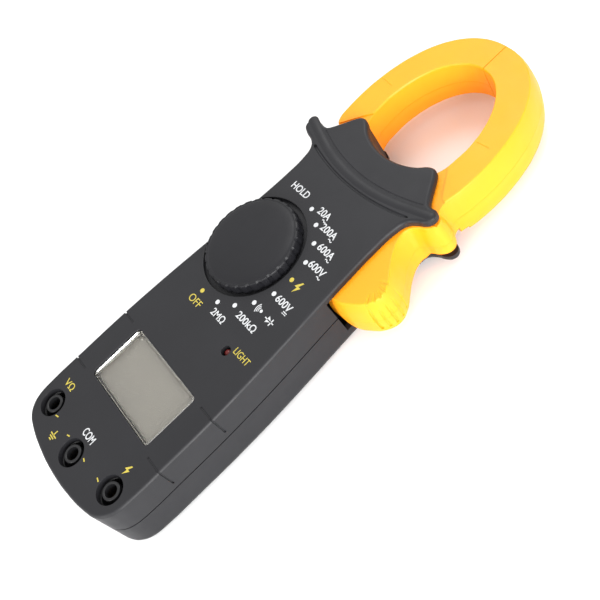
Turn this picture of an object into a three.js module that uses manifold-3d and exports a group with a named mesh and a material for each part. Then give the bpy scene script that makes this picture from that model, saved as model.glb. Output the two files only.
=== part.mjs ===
// A hand-held digital clamp meter, in millimetres.
// The meter lies on its back: +Z is up out of the face, +Y runs towards the jaw, +X is the trigger side.
// The origin is on the back plane, on the centre line, level with the axis of the range knob.
import * as THREE from 'three';
import { mergeVertices } from 'three/addons/utils/BufferGeometryUtils.js';
import Module from 'manifold-3d';

const wasm = await Module();
wasm.setup();

// ---- driving dimensions ----
const GAP = 0.3; // between pieces that touch
const FACE_Z = 22.5;
const PARTING_Z = 12;
const SKIN = 2; // case wall
const FRONT_PLATE_Z = 20.2; // underside of the face plate
const FLOOR_Z = 2;
const GUARD_LOW_Z = 2.4; // the rear guard is set up from the back plane
const COLLAR_FLOOR_Z = 4.7;
const BOTTOM_Y = -90.6;
const CASE_TOP_Y = 34;
const CASE_EDGE = 1.4; // rounding round the face
const BACK_EDGE = 3; // rounding round the back

const KNOB = { x: -10, r: 16.2, wellR: 17.9, wellDepth: 1.5, height: 2.9, scallops: 28 };
const ROTOR_R = 11.4;
const DETENT = { inner: 12, notch: 12.6, outer: 13.3, notches: 20, low: 17, high: 19.9 };
const WINDOW = { x: 18.4, low: -63.2, high: -43.4, corner: 1.5 };
const JACKS = [
  { name: 'volt_ohm', x: -20.9, y: -78.7 },
  { name: 'common', x: 0, y: -82.3 },
  { name: 'insulation', x: 20.9, y: -78.7 },
];
const JACK = { holeR: 4.6, cupR: 5.6, tubeR: 3.05, boreR: 2.55, floorZ: 9.7 };
const PLUG_R = 2; // takes a 4 mm test-lead plug
const LED = { x: 13.1, y: -27.7, r: 1.3 };
const HOLD = { y: 22.5, z: 17.9, halfY: 3, halfZ: 1.7 };

const JAW = { top: 19.9, bottom: 3.3, tucked: 5, crown: 1.2 }; // tucked: underside where it runs over the rear guard
const OVAL_OUT = { x: 29.1, up: 40.2, centreY: 57.8, power: 2.2 };
const OVAL_IN = { x: 19, up: 26, centreY: 62, backEdge: 2.6 }; // backEdge: chamfer round the back of the opening
const THROAT = { y: 73.3, r: 27 }; // arc that closes the jaw ring under the collar
const COLLAR_THROAT_R = 26.25;
const HORN = { left: 7.2, right: 4, rear: 5.2 }; // how far each finger guard stands out
const EAR = { x: 26, low: 34, high: 47, underside: 7.4 }; // the trigger's ear is thinner than the ring
const CORE = { x: 23.4, up: 33.7, down: 19, centreY: 60, half: 1.9, low: 7.6, high: 17.2 };
const COIL = { half: 2.9, inner: 2.2, yLow: 58, yHigh: 76 };
const PIVOT = { x: 20.5, y: 40, r: 2 };
const ROOT_FACE = 0.15; // each jaw half stops this far from the centre plane
const ROOT_RELIEF = 0.7;

const SCREWS = [
  { x: -10.5, y: -80.5, low: 0.4 },
  { x: 10.5, y: -80.5, low: 0.4 },
  { x: 19, y: -7, low: 0.4 },
  { x: -20.5, y: 40, low: 1.6 },
];
const GUARD_SCREW = SCREWS[3];
const SCREW = { head: 1.5, headR: 2.6, shankR: 1.3, boreR: 1.6, bossR: 3 };
const DOOR = { x: 12, low: -76.8, high: -21.3, thick: 1.7, screwY: -74.1 };
const BAY = { x: 12.8, low: -71.4, high: -20.6, wall: 1.2, top: 11.7 };
const CELL = { r: 5.25, length: 44.5, x: 6.2, z: 7.6 };
const BOARD = { low: 14, high: 15.6 };

const COLOURS = {
  charcoal: { color: 0x3b3b40, roughness: 0.62, metalness: 0 },
  knob: { color: 0x36363b, roughness: 0.7, metalness: 0 },
  black: { color: 0x141416, roughness: 0.5, metalness: 0 },
  amber: { color: 0xffa51f, roughness: 0.42, metalness: 0 },
  brass: { color: 0xc9a85a, roughness: 0.3, metalness: 1 },
  steel: { color: 0xb9bcc0, roughness: 0.35, metalness: 1 },
  ferrite: { color: 0x4a4a4e, roughness: 0.5, metalness: 0.6 },
  copper: { color: 0xb56a35, roughness: 0.35, metalness: 1 },
  board: { color: 0x1f6b3a, roughness: 0.5, metalness: 0 },
  clear: { color: 0xdfe6e6, roughness: 0.08, metalness: 0 },
  display: { color: 0xc8c1b4, roughness: 0.3, metalness: 0 },
  red: { color: 0x8a1512, roughness: 0.2, metalness: 0 },
  rubber: { color: 0x2a2a2c, roughness: 0.9, metalness: 0 },
  cell: { color: 0x3a6ea5, roughness: 0.4, metalness: 0.2 },
  ivory: { color: 0xe6e2d6, roughness: 0.5, metalness: 0 },
};

// ---- solids ----
function solidOf(geometry) {
  const bare = geometry.clone();
  bare.deleteAttribute('normal');
  bare.deleteAttribute('uv');
  const merged = mergeVertices(bare, 1e-4);
  const corners = merged.index.array;
  const triangles = [];
  for (let i = 0; i < corners.length; i += 3) {
    const [a, b, c] = [corners[i], corners[i + 1], corners[i + 2]];
    if (a !== b && b !== c && c !== a) triangles.push(a, b, c);
  }
  return new wasm.Manifold(new wasm.Mesh({
    numProp: 3,
    vertProperties: new Float32Array(merged.attributes.position.array),
    triVerts: new Uint32Array(triangles),
  }));
}

function geometryOf(solid) {
  const mesh = solid.getMesh();
  const geometry = new THREE.BufferGeometry();
  geometry.setAttribute('position', new THREE.BufferAttribute(new Float32Array(mesh.vertProperties), 3));
  geometry.setIndex(new THREE.BufferAttribute(new Uint32Array(mesh.triVerts), 1));
  geometry.computeVertexNormals();
  return geometry;
}

function box(xLow, xHigh, yLow, yHigh, zLow, zHigh) {
  const geometry = new THREE.BoxGeometry(xHigh - xLow, yHigh - yLow, zHigh - zLow);
  geometry.translate((xLow + xHigh) / 2, (yLow + yHigh) / 2, (zLow + zHigh) / 2);
  return solidOf(geometry);
}

function disc(x, y, r, zLow, zHigh, sides = 24) {
  const geometry = new THREE.CylinderGeometry(r, r, zHigh - zLow, sides);
  geometry.rotateX(Math.PI / 2);
  geometry.translate(x, y, (zLow + zHigh) / 2);
  return solidOf(geometry);
}

// a body of revolution about Z from [radius, z] pairs
function turned(profile, sides = 24) {
  const geometry = new THREE.LatheGeometry(profile.map(([r, z]) => new THREE.Vector2(r, z)), sides);
  geometry.rotateX(Math.PI / 2);
  return geometry;
}

function prism(shape, zLow, zHigh, divisions = 6) {
  const geometry = new THREE.ExtrudeGeometry(shape, {
    depth: zHigh - zLow,
    bevelEnabled: false,
    curveSegments: divisions,
  });
  geometry.translate(0, 0, zLow);
  return solidOf(geometry);
}

// a plate whose edge is rounded at the top or at the bottom only
function edged(shape, zLow, zHigh, edge, side, segments = 2) {
  const reach = edge * 2;
  const low = side === 'top' ? zLow - reach : zLow;
  const high = side === 'top' ? zHigh : zHigh + reach;
  const geometry = new THREE.ExtrudeGeometry(shape, {
    depth: high - low - 2 * edge,
    bevelThickness: edge,
    bevelSize: edge,
    bevelOffset: -edge,
    bevelSegments: segments,
    curveSegments: 6,
  });
  geometry.translate(0, 0, low + edge);
  return solidOf(geometry).intersect(box(-60, 60, -120, 120, zLow, zHigh));
}

function joined(solids) {
  return solids.reduce((whole, piece) => whole.add(piece));
}

function cut(solid, tools) {
  return tools.reduce((left, tool) => left.subtract(tool), solid);
}

// ---- outlines ----
// right-hand half of a closed outline, mirrored to the left
function mirroredShape(half) {
  const left = half.slice(1, -1).map((p) => new THREE.Vector2(-p.x, p.y)).reverse();
  return new THREE.Shape([...half, ...left]);
}

function caseHalf(inset) {
  const path = new THREE.Path();
  path.moveTo(0, BOTTOM_Y + inset);
  path.quadraticCurveTo(11, BOTTOM_Y + inset, 20 - inset / 2, -88.3 + inset);
  path.quadraticCurveTo(29.1 - inset, -86.3 + inset, 28.9 - inset, -76);
  path.splineThru([[28.7, -46], [26.7, -15], [24.3, 12], [23.6, 30]]
    .map(([x, y]) => new THREE.Vector2(x - inset, y)));
  path.lineTo(23.6 - inset, CASE_TOP_Y);
  path.lineTo(0, CASE_TOP_Y);
  return path.getPoints(4);
}

// the finger guard and the throat that the jaws come out of
function collarHalf(horn) {
  const path = new THREE.Path();
  path.moveTo(0, 30);
  path.lineTo(23.6, 30);
  path.splineThru([[24.7, 34.6], [27.4, 36.9], [27.4 + horn * 0.63, 38.5], [27.4 + horn, 40.4],
    [27.4 + horn * 0.95, 43.1], [27.4 + horn * 0.52, 44], [27.4, 42.9], [25.6, 43.7]]
    .map(([x, y]) => new THREE.Vector2(x, y)));
  path.lineTo(19.4, 52);
  path.quadraticCurveTo(18.3, 53.3, 16.4, THROAT.y - 20.5);
  path.absarc(0, THROAT.y, COLLAR_THROAT_R, Math.atan2(-20.5, 16.4), -Math.PI / 2, true);
  return path.getPoints(2);
}

function ovalPoint(angle, half, up, power, centreY) {
  const c = Math.cos(angle);
  const s = Math.sin(angle);
  return new THREE.Vector2(
    half * Math.sign(c) * Math.abs(c) ** (2 / power),
    centreY + up * Math.sign(s) * Math.abs(s) ** (2 / power),
  );
}

function arcOf(steps, from, to, at) {
  return Array.from({ length: steps + 1 }, (_, i) => at(from + ((to - from) * i) / steps));
}

function outerOval(steps) {
  return arcOf(steps, Math.PI / 2, 0, (a) => ovalPoint(a, OVAL_OUT.x, OVAL_OUT.up, OVAL_OUT.power, OVAL_OUT.centreY));
}

// inner wall from the throat's middle up to the tip
function innerWall() {
  const throat = arcOf(5, -90, -51, (deg) => {
    const a = THREE.MathUtils.degToRad(deg);
    return new THREE.Vector2(THROAT.r * Math.cos(a), THROAT.y + THROAT.r * Math.sin(a));
  });
  const rise = arcOf(12, -0.2, Math.PI / 2, (a) => ovalPoint(a, OVAL_IN.x, OVAL_IN.up, 2, OVAL_IN.centreY));
  return [...throat, ...rise];
}

// half ring with the jaw's root, the horn between the guards and the trigger
function movingJawShape() {
  const path = new THREE.Path();
  path.moveTo(28.3, 50);
  path.splineThru([[27.6, 46.4], [29, 43.6], [31.4, 42], [31.9, 40.2], [30.2, 38], [27.2, 36.2],
    [25.4, 34], [25.9, 30.8], [28.4, 26.2], [34.8, 18.9], [36.5, 15.2], [35.2, 11.4], [30.4, 6.8],
    [26.6, 4.9], [21.9, 4.6]].map(([x, y]) => new THREE.Vector2(x, y)));
  path.splineThru([[20.2, 14], [18.8, 24], [15.2, 32], [8, 36.4], [0, 36.8]]
    .map(([x, y]) => new THREE.Vector2(x, y)));
  const grip = path.getPoints(2);
  return new THREE.Shape([...outerOval(14), ...grip, ...innerWall()]);
}

function fixedJawShape() {
  const root = [[28.3, 50], [27.2, 47.4], [23, 46.2], [20.6, 44.4], [20.6, 36.8], [0, 36.8]]
    .map(([x, y]) => new THREE.Vector2(x, y));
  const half = [...outerOval(14), ...root, ...innerWall()];
  return new THREE.Shape(half.map((p) => new THREE.Vector2(-p.x, p.y)).reverse());
}

// closed band that follows the middle of the jaw ring
function coreBand(halfWidth, steps = 40) {
  const loop = (grow) => arcOf(steps, 0, 2 * Math.PI, (a) => {
    const reach = Math.sin(a) > 0 ? CORE.up : CORE.down;
    return ovalPoint(a, CORE.x + grow, reach + grow, 2, CORE.centreY);
  }).slice(0, -1);
  const band = new THREE.Shape(loop(halfWidth));
  band.holes.push(new THREE.Path(loop(-halfWidth)));
  return band;
}

// ---- case shells ----
const sideOfCase = (inset) => mirroredShape(caseHalf(inset));
const collarShape = new THREE.Shape([
  ...collarHalf(HORN.right),
  ...collarHalf(HORN.left).slice(1, -1).map((p) => new THREE.Vector2(-p.x, p.y)).reverse(),
]);
const rearCollarShape = mirroredShape(collarHalf(HORN.rear));
const leftGuardZone = (zLow, zHigh) => box(-40, -22.7, 28, 44.4, zLow, zHigh);
const triggerSlot = (zLow, zHigh) => box(20, 30, 2.4, 36, zLow, zHigh);

function roundedWindow(inset) {
  const [x, low, high] = [WINDOW.x - inset, WINDOW.low + inset, WINDOW.high - inset];
  const r = WINDOW.corner;
  const shape = new THREE.Shape();
  shape.moveTo(-x + r, low);
  shape.absarc(x - r, low + r, r, -Math.PI / 2, 0);
  shape.absarc(x - r, high - r, r, 0, Math.PI / 2);
  shape.absarc(-x + r, high - r, r, Math.PI / 2, Math.PI);
  shape.absarc(-x + r, low + r, r, Math.PI, 1.5 * Math.PI);
  return shape;
}

const jackWells = (zLow, zHigh) => JACKS.map(({ x, y }) => disc(x, y, JACK.cupR + GAP, zLow, zHigh));

function frontCase() {
  const low = PARTING_Z + GAP / 2;
  const shell = edged(sideOfCase(0), low, FACE_Z, CASE_EDGE, 'top')
    .subtract(prism(sideOfCase(SKIN), low - 1, FRONT_PLATE_Z, 4))
    .subtract(box(-22, 22, CASE_TOP_Y - SKIN, 40, low - 1, FRONT_PLATE_Z));
  const guard = edged(collarShape, FRONT_PLATE_Z, FACE_Z, 1, 'top');
  const leftGuard = edged(collarShape, low, FACE_Z, 1, 'top').intersect(leftGuardZone(low, FACE_Z));
  const bosses = SCREWS.slice(0, 3).map(({ x, y }) => disc(x, y, SCREW.bossR, low, FRONT_PLATE_Z + 0.5, 16));
  const solid = joined([shell, guard, leftGuard, ...bosses]);
  return cut(solid, [
    triggerSlot(low - 1, FRONT_PLATE_Z),
    prism(roundedWindow(0), FRONT_PLATE_Z - 1, FACE_Z + 1, 2),
    ...jackWells(low - 1, FRONT_PLATE_Z),
    disc(KNOB.x, 0, KNOB.wellR, FACE_Z - KNOB.wellDepth, FACE_Z + 1, 48),
    disc(KNOB.x, 0, 5.2, FRONT_PLATE_Z - 1, FACE_Z + 1),
    disc(LED.x, LED.y, LED.r + GAP, FRONT_PLATE_Z - 1, FACE_Z + 1, 16),
    ...JACKS.map(({ x, y }) => disc(x, y, JACK.holeR, FRONT_PLATE_Z - 1, FACE_Z + 1)),
    ...SCREWS.map(({ x, y }) => disc(x, y, SCREW.boreR, low - 1, 21.3, 12)),
    disc(PIVOT.x, PIVOT.y, PIVOT.r + GAP, FRONT_PLATE_Z - 1, 21.4),
    box(-30, -20, HOLD.y - HOLD.halfY - GAP, HOLD.y + HOLD.halfY + GAP,
      HOLD.z - HOLD.halfZ - GAP, HOLD.z + HOLD.halfZ + GAP),
  ]);
}

function rearCase() {
  const high = PARTING_Z - GAP / 2;
  const outer = edged(sideOfCase(0), 0, high, BACK_EDGE, 'bottom');
  const shell = outer
    .subtract(prism(sideOfCase(SKIN), FLOOR_Z, high + 1, 4))
    .subtract(box(-22, 22, CASE_TOP_Y - SKIN, 40, COLLAR_FLOOR_Z, high + 1));
  const guard = edged(rearCollarShape, GUARD_LOW_Z, COLLAR_FLOOR_Z, 1, 'bottom');
  const leftGuard = edged(collarShape, GUARD_LOW_Z, high, 1, 'bottom').intersect(leftGuardZone(0, high));
  const guardBoss = disc(GUARD_SCREW.x, GUARD_SCREW.y, 4, GUARD_SCREW.low - 0.4, COLLAR_FLOOR_Z, 16);
  const bay = box(-BAY.x - BAY.wall, BAY.x + BAY.wall, BAY.low - BAY.wall, BAY.high + BAY.wall, FLOOR_Z - 0.5, BAY.top)
    .subtract(box(-BAY.x, BAY.x, BAY.low, BAY.high, 0, BAY.top + 1));
  const posts = SCREWS.slice(0, 3).flatMap(({ x, y }) => [
    disc(x, y, SCREW.bossR, FLOOR_Z - 0.5, high, 16),
    disc(x, y, 4.2, FLOOR_Z - 0.5, 4, 16).intersect(outer),
  ]);
  const doorPad = box(-DOOR.x - 1.5, DOOR.x + 1.5, DOOR.low - 1.5, BAY.low, FLOOR_Z - 0.5, 4);
  const springSeat = box(4.4, 5.6, 16, 28, FLOOR_Z - 0.5, high);
  const doorPost = disc(0, DOOR.screwY, 3, 3.5, 8, 16);
  const solid = joined([shell, guard, leftGuard, guardBoss, bay, doorPad, springSeat, doorPost, ...posts]);
  return cut(solid, [
    triggerSlot(COLLAR_FLOOR_Z, high + 1),
    ...jackWells(JACK.floorZ - GAP, high + 1),
    box(-DOOR.x - GAP, DOOR.x + GAP, DOOR.low - GAP, DOOR.high + GAP, -1, DOOR.thick + GAP),
    box(-DOOR.x - GAP, DOOR.x + GAP, BAY.low, DOOR.high + GAP, -1, FLOOR_Z + 1),
    disc(0, DOOR.screwY, 1.4, 0, 7, 12),
    ...SCREWS.map(({ x, y, low }) => disc(x, y, SCREW.headR + GAP, -1, low + SCREW.head + GAP, 16)),
    ...SCREWS.map(({ x, y }) => disc(x, y, SCREW.boreR, 0, high + 1, 12)),
    disc(PIVOT.x, PIVOT.y, PIVOT.r + GAP, 3.1, high + 1),
  ]);
}

function batteryDoor() {
  const plate = box(-DOOR.x, DOOR.x, DOOR.low, DOOR.high, 0, DOOR.thick);
  return cut(plate, [
    disc(0, DOOR.screwY, 2.6, -1, 0.9, 16),
    disc(0, DOOR.screwY, 1.4, -1, 3, 12),
    ...[-30, -32.4, -34.8].map((y) => box(-7, 7, y, y + 1.2, -1, 0.5)),
  ]);
}

// ---- jaws ----
// the space that the jaws close round, with a chamfer at its back
function openingSolid() {
  const shape = mirroredShape(innerWall());
  const chamfer = new THREE.ExtrudeGeometry(shape, {
    depth: 1,
    bevelThickness: OVAL_IN.backEdge,
    bevelSize: OVAL_IN.backEdge,
    bevelSegments: 1,
  });
  chamfer.translate(0, 0, JAW.bottom - 1);
  return prism(shape, JAW.bottom, JAW.top + 1).add(solidOf(chamfer));
}

function jawHalfShell(shape, side, front) {
  const middle = (JAW.top + JAW.bottom) / 2;
  const band = 1; // straight middle of the crowned wall
  const geometry = new THREE.ExtrudeGeometry(shape, {
    depth: band,
    bevelThickness: (JAW.top - JAW.bottom - band) / 2,
    bevelSize: JAW.crown,
    bevelSegments: 3,
    curveSegments: 2,
  });
  geometry.translate(0, 0, middle - band / 2);
  const keep = side > 0 ? box(ROOT_FACE, 60, -10, 110, 0, 30) : box(-60, -ROOT_FACE, -10, 110, 0, 30);
  const half = front
    ? box(-60, 60, -10, 110, middle + GAP / 2, 30)
    : box(-60, 60, -10, 110, 0, middle - GAP / 2);
  const channel = prism(coreBand(2.5), CORE.low - 0.9, CORE.high + 1);
  const wideChannel = prism(coreBand(3.3), CORE.low - 1.4, CORE.high + 1.5)
    .intersect(box(-60, 60, COIL.yLow - 1, COIL.yHigh + 1, 0, 30));
  const solid = solidOf(geometry).intersect(keep).intersect(half);
  return cut(solid, [openingSolid(), channel, wideChannel, tuckSolid()]);
}

// what is taken off the underside so that the jaws run over the rear guard
function tuckSolid() {
  const margin = 0.7;
  const geometry = new THREE.ExtrudeGeometry(collarShape, {
    depth: JAW.tucked,
    bevelThickness: 0.01,
    bevelSize: 0,
    bevelOffset: margin,
    bevelSegments: 1,
    curveSegments: 6,
  });
  return joined([
    solidOf(geometry).intersect(box(-60, 60, 0, 80, 0, JAW.tucked)),
    box(0, 60, 0, 34, 0, JAW.tucked),
    box(22, 60, 0, 50, 0, JAW.tucked),
    box(-60, -22, 0, 48, 0, JAW.tucked),
    box(EAR.x, 60, EAR.low, EAR.high, 0, EAR.underside),
  ]);
}

function fixedJaw(front) {
  return jawHalfShell(fixedJawShape(), -1, front)
    .subtract(disc(GUARD_SCREW.x, GUARD_SCREW.y, SCREW.shankR + GAP, 0, 30, 12));
}

// the root is trimmed so that it clears the fixed half as the jaw swings
function movingJaw(front) {
  return cut(jawHalfShell(movingJawShape(), 1, front), [
    disc(PIVOT.x, PIVOT.y, PIVOT.r + GAP, 0, 30),
    box(-5, ROOT_RELIEF, 30, 46, 0, 30),
  ]);
}

function coreHalf(side) {
  const keep = side > 0 ? box(ROOT_FACE, 60, 0, 110, 0, 30) : box(-60, -ROOT_FACE, 0, 110, 0, 30);
  return prism(coreBand(CORE.half), CORE.low, CORE.high).intersect(keep);
}

function winding(side) {
  const keep = side > 0
    ? box(10, 60, COIL.yLow, COIL.yHigh, 0, 30)
    : box(-60, -10, COIL.yLow, COIL.yHigh, 0, 30);
  return prism(coreBand(COIL.half), CORE.low - 1, CORE.high + 1)
    .intersect(keep)
    .subtract(prism(coreBand(COIL.inner), CORE.low - GAP, CORE.high + GAP));
}

// ---- range switch ----
function knobCap() {
  const outline = new THREE.Shape();
  const steps = KNOB.scallops * 4;
  for (let i = 0; i < steps; i += 1) {
    const a = (i / steps) * 2 * Math.PI;
    const wave = 0.55 * Math.abs(Math.sin((KNOB.scallops * a) / 2));
    const r = KNOB.r - 1 + wave;
    if (i === 0) outline.moveTo(r * Math.cos(a), r * Math.sin(a));
    else outline.lineTo(r * Math.cos(a), r * Math.sin(a));
  }
  const low = FACE_Z - KNOB.wellDepth + GAP;
  const high = FACE_Z + KNOB.height;
  const skirt = new THREE.ExtrudeGeometry(outline, {
    depth: high - low - 0.9,
    bevelThickness: 0.45,
    bevelSize: 0.45,
    bevelSegments: 1,
  });
  skirt.translate(0, 0, low + 0.45);
  const dome = turned([[0, high - 1], [14, high - 1], [14, high - 0.2], [9, high + 0.35], [0, high + 0.5]], 36);
  return joined([
    solidOf(skirt),
    solidOf(dome),
    disc(0, 0, 4.9, 19.9, low + 1),
    box(-2.4, 2.4, -2.4, 2.4, 17.6, 20.5),
  ]);
}

function switchRotor() {
  const body = joined([disc(0, 0, ROTOR_R, 16.6, 19.3, 36), disc(0, 0, 3, 14.4, 17, 16)]);
  const pocket = new THREE.CylinderGeometry(1.25, 1.25, 8, 12).translate(0, ROTOR_R - 2.4, 18);
  return cut(body, [box(-2.7, 2.7, -2.7, 2.7, 17.3, 21), solidOf(pocket)]);
}

function detentRing() {
  const ring = new THREE.Shape();
  ring.absarc(0, 0, DETENT.outer, 0, 2 * Math.PI);
  const stops = DETENT.notches * 3;
  ring.holes.push(new THREE.Path(Array.from({ length: stops }, (_, i) => {
    const a = (i / stops) * 2 * Math.PI + Math.PI / 2;
    const r = i % 3 === 0 ? DETENT.notch : DETENT.inner;
    return new THREE.Vector2(r * Math.cos(a), r * Math.sin(a));
  })));
  return prism(ring, DETENT.low, DETENT.high, 16);
}

class Helix extends THREE.Curve {
  constructor(radius, length, turns) {
    super();
    this.radius = radius;
    this.length = length;
    this.turns = turns;
  }

  getPoint(t, target = new THREE.Vector3()) {
    const a = t * this.turns * 2 * Math.PI;
    return target.set(this.radius * Math.cos(a), this.radius * Math.sin(a), t * this.length);
  }
}

function coilSpring(radius, wire, length, turns, stepsPerTurn = 10) {
  const section = new THREE.Shape();
  for (let i = 0; i < 6; i += 1) {
    const a = (i / 6) * 2 * Math.PI;
    if (i === 0) section.moveTo(wire, 0);
    else section.lineTo(wire * Math.cos(a), wire * Math.sin(a));
  }
  return new THREE.ExtrudeGeometry(section, {
    steps: Math.round(turns * stepsPerTurn),
    extrudePath: new Helix(radius, length, turns),
  });
}

// ---- electronics ----
function mainBoard() {
  const half = [[25, -69], [24.6, -40], [22.6, -2]];
  const outline = new THREE.Shape([
    ...half, [4.6, -2], [4.6, 30], [-20.9, 30], ...half.map(([x, y]) => [-x, y]).reverse(),
  ].map(([x, y]) => new THREE.Vector2(x, y)));
  return cut(prism(outline, BOARD.low, BOARD.high), [
    disc(KNOB.x, 0, 3.4, 0, 30, 16),
    disc(SCREWS[2].x, SCREWS[2].y, SCREW.bossR + GAP, 0, 30, 16),
  ]);
}

function lcdFrame() {
  return box(-20.2, 20.2, -65, -41.5, BOARD.high + GAP, 20)
    .subtract(box(-18.9, 18.9, -63.9, -42.9, 0, 30));
}

function clearPane() {
  return prism(roundedWindow(GAP), FRONT_PLATE_Z + GAP, FACE_Z - GAP, 2);
}

function jackCup() {
  return turned([
    [JACK.cupR, JACK.floorZ], [JACK.cupR, 19.9], [JACK.holeR, 19.9], [JACK.holeR, 11.2], [JACK.tubeR, 11.2],
    [JACK.tubeR, 21.6], [JACK.boreR, 21.9], [JACK.boreR, JACK.floorZ], [JACK.cupR, JACK.floorZ],
  ], 32);
}

function jackBarrel() {
  return turned([[0, 8], [2.35, 8], [2.35, 19.9], [PLUG_R, 19.9], [PLUG_R, 9.9], [0, 9.9]], 32);
}

function dryCell() {
  return turned([[0, 0], [CELL.r, 0], [CELL.r, 43.7], [1.9, 43.7], [1.9, CELL.length], [0, CELL.length]]);
}

// ---- assembly ----
const clampMeter = new THREE.Group();
clampMeter.name = 'clamp_meter';

function piece(name, shape, finish, parent = clampMeter) {
  const geometry = shape.isBufferGeometry ? shape : geometryOf(shape);
  const mesh = new THREE.Mesh(geometry, new THREE.MeshStandardMaterial(COLOURS[finish]));
  mesh.name = name;
  parent.add(mesh);
  return mesh;
}

piece('front_case', frontCase(), 'charcoal');
piece('rear_case', rearCase(), 'charcoal');
piece('battery_door', batteryDoor(), 'charcoal');

SCREWS.forEach(({ x, y, low }, i) => {
  const tip = i === 3 ? 21 : 18;
  const profile = [[0, low], [SCREW.headR, low], [SCREW.headR, low + SCREW.head],
    [SCREW.shankR, low + SCREW.head], [SCREW.shankR, tip], [0, tip]];
  piece(`case_screw_${i + 1}`, turned(profile, 12), 'steel').position.set(x, y, 0);
});
const doorScrew = turned([[0, 0.2], [2.3, 0.2], [1.1, 0.9], [1.1, 6.5], [0, 6.5]], 12);
piece('battery_door_screw', doorScrew, 'steel').position.set(0, DOOR.screwY, 0);

piece('fixed_jaw_front', fixedJaw(true), 'amber');
piece('fixed_jaw_rear', fixedJaw(false), 'amber');
piece('fixed_core', coreHalf(-1), 'ferrite');
piece('fixed_winding', winding(-1), 'copper');
piece('moving_jaw_front', movingJaw(true), 'amber');
piece('moving_jaw_rear', movingJaw(false), 'amber');
piece('moving_core', coreHalf(1), 'ferrite');
piece('moving_winding', winding(1), 'copper');
piece('jaw_pin', turned([[0, 3.4], [PIVOT.r, 3.4], [PIVOT.r, 21.1], [0, 21.1]]), 'steel')
  .position.set(PIVOT.x, PIVOT.y, 0);

const returnSpring = piece('return_spring', coilSpring(3.2, 0.45, 11, 6), 'steel');
returnSpring.position.set(6.4, 22, PARTING_Z);
returnSpring.rotation.y = Math.PI / 2;

const rangeSwitch = new THREE.Group();
rangeSwitch.position.x = KNOB.x;
clampMeter.add(rangeSwitch);
piece('range_knob', knobCap(), 'knob', rangeSwitch);
piece('switch_rotor', switchRotor(), 'ivory', rangeSwitch);
piece('detent_ring', detentRing(), 'ivory', rangeSwitch);
piece('detent_ball', new THREE.SphereGeometry(1, 10, 6), 'steel', rangeSwitch).position.set(0, ROTOR_R - 0.6, 18);
const detentSpring = piece('detent_spring', coilSpring(0.75, 0.18, 3.6, 4, 8), 'steel', rangeSwitch);
detentSpring.position.set(0, ROTOR_R - 5.6, 18);
detentSpring.rotation.x = -Math.PI / 2;
[-30, -150, 90].forEach((deg, i) => {
  const arm = new THREE.Group();
  arm.rotation.z = THREE.MathUtils.degToRad(deg);
  rangeSwitch.add(arm);
  piece(`contact_wiper_${i + 1}`, box(4.6, 10.6, -1.1, 1.1, BOARD.high + GAP, 16.3), 'brass', arm);
});

JACKS.forEach(({ name, x, y }) => {
  piece(`${name}_jack_shroud`, jackCup(), 'black').position.set(x, y, 0);
  piece(`${name}_jack_barrel`, jackBarrel(), 'brass').position.set(x, y, 0);
});

piece('lcd_window', clearPane(), 'clear');
piece('lcd_glass', box(-18.6, 18.6, -63.6, -43.2, 17, 19.1), 'display');
piece('lcd_frame', lcdFrame(), 'ivory');
piece('contact_strip', box(-16, 16, -63.4, -61.6, BOARD.high + GAP, 16.7), 'rubber');
piece('main_board', mainBoard(), 'board');
piece('meter_chip', box(-8, 2, -35, -25, BOARD.high + GAP, 17.7), 'black');
piece('capacitor', turned([[0, 15.9], [2.5, 15.9], [2.5, 19.6], [0, 19.6]], 12), 'cell').position.set(19.5, -33, 0);
piece('buzzer', turned([[0, 15.9], [6, 15.9], [6, 19], [0, 19]]), 'black').position.set(-16, -28, 0);
piece('led_lamp', turned([[0, 15.9], [LED.r, 15.9], [LED.r, 21.4], [0.9, 21.9], [0, 22.1]], 16), 'red')
  .position.set(LED.x, LED.y, 0);

const holdCap = joined([
  box(-24.9, -21.1, HOLD.y - HOLD.halfY, HOLD.y + HOLD.halfY, HOLD.z - HOLD.halfZ, HOLD.z + HOLD.halfZ),
  box(-21.4, -20.8, HOLD.y - 4, HOLD.y + 4, HOLD.z - 1.9, HOLD.z + 2),
]);
piece('hold_button', holdCap, 'knob');
piece('hold_switch', box(-19.8, -15.8, HOLD.y - 3, HOLD.y + 3, BOARD.high + GAP, 19), 'black');

const cellEnds = [
  { name: 'cell_1', x: -CELL.x, up: true },
  { name: 'cell_2', x: CELL.x, up: false },
];
const plateY = BAY.high - 0.9;
cellEnds.forEach(({ name, x, up }) => {
  const cell = piece(name, dryCell(), 'cell');
  cell.rotation.x = up ? -Math.PI / 2 : Math.PI / 2;
  const farY = up ? plateY - GAP - CELL.length : BAY.low + 0.9 + GAP + CELL.length;
  cell.position.set(x, farY, CELL.z);
  const spring = piece(`${name}_spring`, coilSpring(2.6, 0.3, 3.2, 3), 'steel');
  spring.rotation.x = -Math.PI / 2;
  spring.position.set(x, up ? BAY.low + 0.7 : BAY.high - 3.9, CELL.z);
  const low = up ? plateY : BAY.low + 0.4;
  piece(`${name}_plate`, box(x - 4, x + 4, low, low + 0.5, CELL.z - 4, CELL.z + 3.6), 'steel');
});

export default clampMeter;
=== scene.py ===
# %% [markdown]
# A hand-held clamp meter, built round its CAD frame. The frame holds every working piece in its place:
# the shells, the split magnetic jaw, the range switch, the board and the cells. This lesson gives the
# pieces that show their real shape, such as rounded shells, engraved grooves and printed legends, and
# gives every piece a finish. All numbers are millimetres until they are placed, when MM turns them
# into metres.

# %% Load the frame
import math

import bmesh
import bpy
from mathutils import Matrix, Vector
from mathutils.kdtree import KDTree


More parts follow.
